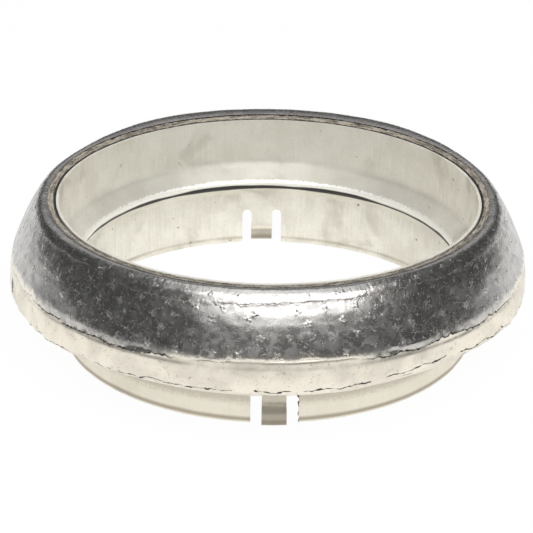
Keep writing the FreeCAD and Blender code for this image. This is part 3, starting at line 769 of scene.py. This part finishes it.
def seat_foil():
    """Bright foil under a smear of graphite: clouded grey, curling hair scratches and dirty pits, with a
    painted highlight round the pits, a pale band above the torn edge that is partly wear and partly painted
    reflection, and a painted shadow along that edge where it lifts.
    """
    material, tree, surface = new_material("seat_sheet")
    place = use_group(tree, PLACE_ON_RING)["Place"]
    lap, edge, pit, gap = (kept_value(tree, name) for name in ("lap", "edge", "pit", "gap"))
    broad = noise(tree, place, 0.07, 3.0, 0.4)
    patch = noise(tree, place, 0.35, 4.0, 0.6)
    streak = streak_lines(tree, place, 1.1)
    smear = calc(tree, "ADD", calc(tree, "MULTIPLY", broad, 0.8), calc(tree, "MULTIPLY", patch, 0.5))
    smear = calc(tree, "MULTIPLY_ADD", streak, 0.25, smear)
    share = fade(tree, smear, 0.55, 1.05)
    colour = tinted(tree, share, (0.6, 0.585, 0.56, 1), (0.46, 0.45, 0.44, 1))
    fine_hair = hair_lines(tree, place, 0.9, 0.016, 0.47)
    long_hair = hair_lines(tree, place, 0.33, 0.008, 0.5)
    hair = calc(tree, "MAXIMUM", fine_hair, long_hair)
    # Partly wear and partly painted reflection: a pale band above the torn lower edge, fainter where the edge
    # stands open.
    wear_and_sheen = calc(tree, "MULTIPLY_ADD", patch, 4.0, calc(tree, "SUBTRACT", edge, 2.0))
    wear_and_sheen = fade(tree, wear_and_sheen, 0.8, 2.6, 0.9, 0.0)
    wear_and_sheen = calc(tree, "MULTIPLY", wear_and_sheen, fade(tree, gap, 0.3, 1.0, 1.0, 0.25))
    colour = tinted(tree, wear_and_sheen, colour, (0.93, 0.875, 0.76, 1))
    dust_and_rim_highlight = fade(tree, noise(tree, place, 0.45, 6.0, 0.3), 0.45, 0.8, 0.0, 0.045)
    dust_and_rim_highlight = calc(tree, "MAXIMUM", dust_and_rim_highlight, calc(tree, "MULTIPLY", hair, 0.45))
    # Painted highlight: a faint pale ring round each pit, in places.
    ring = fade(tree, calc(tree, "ABSOLUTE", calc(tree, "SUBTRACT", pit, 0.8)), 0.08, 0.3, 1.0, 0.0)
    ring = calc(tree, "MULTIPLY", ring, fade(tree, noise(tree, place, 1.2, 1.0), 0.45, 0.6, 0.0, 0.18))
    dust_and_rim_highlight = calc(tree, "MAXIMUM", dust_and_rim_highlight, ring)
    colour = tinted(tree, dust_and_rim_highlight, colour, (0.85, 0.84, 0.82, 1))
    pebble_noise = noise(tree, place, 2.6, 2.0)
    crack = crack_mask(tree, lap, place, 0.08, 0.22, 0.42)
    # Painted shadow: a near-black line along the torn lower edge where it stands off the belly foil.
    ragged = calc(tree, "MULTIPLY_ADD", noise(tree, place, 0.8, 2.0), 0.9, edge)
    torn = fade(tree, ragged, 0.55, 0.8, 1.0, 0.0)
    torn = calc(tree, "MULTIPLY", torn, fade(tree, gap, 0.25, 0.75))
    by_dirt = calc(tree, "MULTIPLY_ADD", noise(tree, place, 2.2, 1.0), 0.9, pit)
    dirt = fade(tree, by_dirt, 0.62, 0.95, 1.0, 0.0)
    dirt = calc(tree, "MULTIPLY", dirt, fade(tree, noise(tree, place, 0.4, 1.0), 0.35, 0.5, 0.3, 1.0))
    dark_marks_and_shade = calc(tree, "MAXIMUM", fade(tree, crack, 0.1, 0.5), dirt)
    colour = tinted(tree, calc(tree, "MULTIPLY", dark_marks_and_shade, 0.85), colour, (0.12, 0.075, 0.05, 1))
    colour = tinted(tree, torn, colour, (0.02, 0.018, 0.016, 1))
    from_fleck = distance_from(tree, place, RUST_FLECK)
    fleck = fade(tree, calc(tree, "MULTIPLY_ADD", pebble_noise, 1.5, from_fleck), 1.6, 2.0, 1.0, 0.0)
    colour = tinted(tree, fleck, colour, (0.55, 0.16, 0.04, 1))
    # The painted shadow at the torn edge and the rust fleck join the dirt and cracks.
    torn = calc(tree, "MAXIMUM", torn, fleck)
    dark_marks_and_shade = calc(tree, "MAXIMUM", dark_marks_and_shade, torn)
    tree.links.new(colour, surface.inputs["Base Color"])
    bare = calc(tree, "SUBTRACT", 1.0, calc(tree, "MAXIMUM", dust_and_rim_highlight, calc(tree, "MULTIPLY", dark_marks_and_shade, 0.7)))
    tree.links.new(bare, surface.inputs["Metallic"])
    shine = fade(tree, patch, 0.35, 0.7, 0.22, 0.32)
    tree.links.new(calc(tree, "MULTIPLY_ADD", dark_marks_and_shade, 0.3, shine), surface.inputs["Roughness"])
    crumple = noise(tree, place, 0.8, 3.0, 0.5)
    relief = calc(tree, "MULTIPLY_ADD", pebble_noise, 0.22, calc(tree, "MULTIPLY", crumple, 0.45))
    relief = calc(tree, "MULTIPLY_ADD", hair, 0.35, relief)
    relief = calc(tree, "MULTIPLY_ADD", dark_marks_and_shade, -0.6, relief)
    by_lap = fade(tree, calc(tree, "ABSOLUTE", lap), 0.1, 0.8, 1.0, 0.0)
    by_pit = fade(tree, pit, 0.5, 1.2, 1.0, 0.0)
    by_edge = fade(tree, edge, 0.2, 1.8, 0.7, 0.0)
    puckered = calc(tree, "MAXIMUM", calc(tree, "MAXIMUM", by_lap, by_pit), by_edge)
    in_places = fade(tree, noise(tree, place, 0.3, 1.0), 0.35, 0.6, 0.3, 1.0)
    puckered = calc(tree, "MULTIPLY", puckered, in_places)
    pucker = calc(tree, "MULTIPLY", noise(tree, place, 1.5, 2.0, 1.0), puckered)
    relief = calc(tree, "MULTIPLY_ADD", pucker, 3.5, relief)
    bumped(tree, surface, relief, 0.025 * mm)
    return material


seat_piece = link_piece("seat_facing", seat_mesh(), seat_foil(), "seat_facing")

# The belly facing
# A plain pale foil bent round the belly and the underside. Its upper edge is tucked under the seat foil, and
# its lower corner is creased and cracked where it was pressed in towards the skirt.
TUCK = 2.4 * mm
SEAM_LEVEL = 26.2 * mm
CORNER_LEVEL = 15.8 * mm
BELLY_BACK_STEP = 12
LEFT_SAG = 1.2 * mm
RIGHT_SAG = 0.7 * mm
TORN_TONGUE = (-77.1, -17.7, 21.2)
FOOT_KNOTS = (
    (-180, 18.4), (-60, 17.8), (-44, 18), (-30, 17.9), (-24, 18.5), (-18, 17.9), (-12, 18.5), (4, 18.2),
    (12, 18.7), (23, 19.7), (36, 20.7), (46, 19.9), (70, 18.8), (120, 18.2), (180, 18.4),
)


def foot_drop(front, radius, height):
    """How far the belly's lower corner sags at the two sides, beyond its height at the front."""
    left = soft_step(front, -38, -66) * soft_step(front, -165, -140)
    right = soft_step(front, 50, 74) * soft_step(front, 165, 140)
    low = soft_step(height, 24 * mm, 19 * mm) * soft_step(radius, 65 * mm, 77 * mm)
    return (LEFT_SAG * left + RIGHT_SAG * right) * low


def belly_mesh():
    """The belly foil from its tucked upper edge to the hem, with its creased and sagging lower corner."""
    angles = ring_angles(FOIL_COLUMNS)[None, :]
    front = front_degrees(angles)
    start = along_at(SEAM_LEVEL) - TUCK
    corner = along_at(CORNER_LEVEL)
    end = SHELL_ALONG[-1]
    along = np.concatenate([np.linspace(start, corner, 33), np.linspace(corner, end, 17)[1:]])[:, None]
    radius, height, out_radius, out_height = shell_at(np.repeat(along, FOIL_COLUMNS, axis=1))
    foot = height - wandering(angles, FOOT_KNOTS, 0.2 * mm, 51)
    below_seam = seam_height(angles) - height
    gap = np.broadcast_to(from_knots(front, GAP_KNOTS), foot.shape)
    tucked = soft_step(height, 24.6 * mm, 25.6 * mm)
    near_foot = np.exp(-(foot / (1.6 * mm)) ** 2)
    sunk = (0.06 + 0.14 * soft_step(np.abs(front), 16, 26)) * mm * tucked
    sunk += 0.25 * mm * soft_step(height, 26.9 * mm, 27.6 * mm) + 0.1 * mm * soft_step(np.abs(front), 16, 26)
    right = soft_step(front, 14, 30) * soft_step(front, 60, 44)
    relief = (
        0.06 * mm * ripple(angles, along, 14 * mm, 61)
        + 0.012 * mm * ripple(angles, along, 4 * mm, 62)
        + near_foot * 0.06 * mm * ripple(angles, along, 2 * mm, 63)
        - 0.16 * mm * np.exp(-(foot / (0.3 * mm)) ** 2)
        + near_foot * 0.12 * mm * ripple(angles, 0, 6 * mm, 64)
        - sunk
        - right * 0.5 * mm * soft_step(foot, 0, -1.5 * mm)
        + bulge(front, height, (-75, 21.2), (1.1, 1.3), 0.5 * mm)
        - bulge(front, height, (58, 19.5), (1, 1), 0.5 * mm)
    )
    relief = relief * soft_step(along, end, end - 3 * mm)
    settled = height - foot_drop(front, radius, height) + raised_hem(front, radius, height)
    face = (radius + relief * out_radius, settled + relief * out_height)
    mesh, blank = foil_mesh("belly_foil", face, (out_radius, out_height), angles, BELLY_BACK_STEP)
    note_values(
        mesh,
        foot=np.concatenate([foot, blank + 9 * mm]) / mm,
        seam=np.concatenate([below_seam, blank + 9 * mm]) / mm,
        gap=np.concatenate([gap, blank]),
    )
    return mesh


def belly_foil():
    """Bright plain foil: soft smudges, small scratches, a cracked lower corner, a torn tongue and a painted
    shadow just below the seat foil's lifted edge.
    """
    material, tree, surface = new_material("belly_sheet")
    place = use_group(tree, PLACE_ON_RING)["Place"]
    cloud = noise(tree, place, 0.13, 4.0, 0.3)
    colour = tinted(tree, fade(tree, cloud, 0.35, 0.7), (0.95, 0.89, 0.765, 1), (0.84, 0.785, 0.68, 1))
    hair = hair_lines(tree, place, 0.6, 0.02, 0.5)
    colour = tinted(tree, calc(tree, "MULTIPLY", hair, 0.6), colour, (0.3, 0.27, 0.23, 1))
    foot = kept_value(tree, "foot")
    crack = fade(tree, crack_mask(tree, foot, place, 0.24, 0.16, 0.4), 0.1, 0.5)
    # Painted shadow: a dark band just below the seat foil's edge where it lifts, joined to the crack mask.
    seam = calc(tree, "MULTIPLY_ADD", noise(tree, place, 0.7, 2.0), 0.8, kept_value(tree, "seam"))
    shade = fade(tree, seam, 0.5, 0.9, 1.0, 0.0)
    shade = calc(tree, "MULTIPLY", shade, fade(tree, kept_value(tree, "gap"), 0.2, 0.7))
    crack = calc(tree, "MAXIMUM", crack, shade)
    from_tongue = distance_from(tree, place, TORN_TONGUE)
    tongue = calc(tree, "MULTIPLY_ADD", noise(tree, place, 0.9, 2.0), 2.4, from_tongue)
    crack = calc(tree, "MAXIMUM", crack, fade(tree, tongue, 3.3, 3.7, 1.0, 0.0))
    colour = tinted(tree, crack, colour, (0.02, 0.018, 0.016, 1))
    tree.links.new(colour, surface.inputs["Base Color"])
    tree.links.new(calc(tree, "MULTIPLY_ADD", crack, -1.0, 1.0), surface.inputs["Metallic"])
    tree.links.new(fade(tree, cloud, 0.3, 0.7, 0.3, 0.42), surface.inputs["Roughness"])
    crumple = noise(tree, place, 0.5, 3.0, 0.4)
    relief = calc(tree, "MULTIPLY_ADD", noise(tree, place, 2.2, 2.0), 0.15, crumple)
    relief = calc(tree, "MULTIPLY_ADD", crack, -0.8, relief)
    relief = calc(tree, "MULTIPLY_ADD", hair, -0.3, relief)
    bumped(tree, surface, relief, 0.04 * mm)
    return material


belly_piece = link_piece("belly_facing", belly_mesh(), belly_foil(), "belly_facing")

# The studio
# A wide pale floor in a dim room. A large soft lamp is high in front, with fainter ones overhead and behind,
# and one at each side that the metal doesn't mirror. The metal mirrors the floor below and the dim room
# above, which gives the dark band round the seat.
FLOOR_HALF = 30
WHITE_SHARE = 0.97
ROOM_LIGHT = 0.08


def floor_material():
    material, tree, surface = new_material("floor_paper")
    surface.inputs["Base Color"].default_value = (0.9, 0.9, 0.9, 1)
    surface.inputs["Roughness"].default_value = 0.9
    surface.inputs["Specular IOR Level"].default_value = 0
    path = add_node(tree, "ShaderNodeLightPath").outputs
    seen = calc(tree, "MAXIMUM", calc(tree, "MAXIMUM", path["Is Camera Ray"], path["Is Glossy Ray"]),
                path["Is Transmission Ray"])
    white = add_node(tree, "ShaderNodeEmission", {"Color": (1, 1, 1, 1), "Strength": 1.0})
    mix = add_node(tree, "ShaderNodeMixShader",
                   {0: calc(tree, "MULTIPLY", seen, WHITE_SHARE), 1: surface.outputs[0], 2: white.outputs[0]})
    tree.links.new(mix.outputs[0], tree.nodes["Material Output"].inputs["Surface"])
    return material


floor_mesh = bpy.data.meshes.new("floor")
floor_mesh.from_pydata([(x * FLOOR_HALF, y * FLOOR_HALF, 0) for x, y in ((-1, -1), (1, -1), (1, 1), (-1, 1))],
                       [], [(0, 1, 2, 3)])
floor_mesh.materials.append(floor_material())
floor = bpy.data.objects.new("floor", floor_mesh)
bpy.context.collection.objects.link(floor)


def soft_lamp(name, azimuth, elevation, distance, size, radiance, mirrored=True):
    """A rectangular lamp that faces the part. Azimuth 0 is straight in front, and grows to the right."""
    turn, rise = math.radians(azimuth), math.radians(elevation)
    level = math.cos(rise)
    place = Vector((math.sin(turn) * level, -math.cos(turn) * level, math.sin(rise))) * distance
    light = bpy.data.lights.new(name, "AREA")
    light.shape = "RECTANGLE"
    light.size, light.size_y = size
    light.energy = radiance * math.pi * size[0] * size[1]
    lamp = bpy.data.objects.new(name, light)
    lamp.location = place
    lamp.visible_glossy = mirrored
    lamp.rotation_euler = place.to_track_quat("Z", "Y").to_euler()
    bpy.context.collection.objects.link(lamp)


soft_lamp("key_lamp", 8, 53, 1.3, (1.45, 1), 3)
soft_lamp("top_lamp", 0, 89, 2.2, (1.6, 1.6), 1.2)
soft_lamp("back_lamp", 180, 38, 1.8, (2.6, 0.9), 0.45)
soft_lamp("left_lamp", -80, 52, 1.8, (1.6, 0.8), 1.9, mirrored=False)
soft_lamp("right_lamp", 85, 52, 1.8, (1.6, 0.8), 1.9, mirrored=False)

room = bpy.data.worlds.new("room")
room.use_nodes = True
room.node_tree.nodes["Background"].inputs["Color"].default_value = (1, 1, 1, 1)
room.node_tree.nodes["Background"].inputs["Strength"].default_value = ROOM_LIGHT
bpy.context.scene.world = room
bpy.context.scene.view_settings.view_transform = "Standard"

# The camera
# It stands at the photograph's angle. Its place, aim, roll and lens were fitted to the sleeve's rims and the
# part's outline, and the part's tabs lie 2.1 degrees off its line of sight.
PART_TURN = math.radians(-2.1)
CAMERA_PLACE = Vector((0, -514.3 * mm, 258.5 * mm))
CAMERA_AIM = Vector((-0.4 * mm, 0, 19.35 * mm))
CAMERA_ROLL = 0.0139
CAMERA_LENS = 123.8

turn = Matrix.Rotation(PART_TURN, 3, "Z")
place = turn @ CAMERA_PLACE
ahead = (turn @ CAMERA_AIM - place).normalized()
across = ahead.cross(Vector((0, 0, 1))).normalized()
upward = across.cross(ahead)
rolled_across = math.cos(CAMERA_ROLL) * across + math.sin(CAMERA_ROLL) * upward
rolled_up = -math.sin(CAMERA_ROLL) * across + math.cos(CAMERA_ROLL) * upward
camera_data = bpy.data.cameras.new("camera")
camera_data.sensor_width = 36
camera_data.lens = CAMERA_LENS
camera_data.clip_end = 200
camera = bpy.data.objects.new("camera", camera_data)
facing = Matrix((rolled_across, rolled_up, -ahead)).transposed()
camera.matrix_world = Matrix.Translation(place) @ facing.to_4x4()
bpy.context.collection.objects.link(camera)
bpy.context.scene.camera = camera
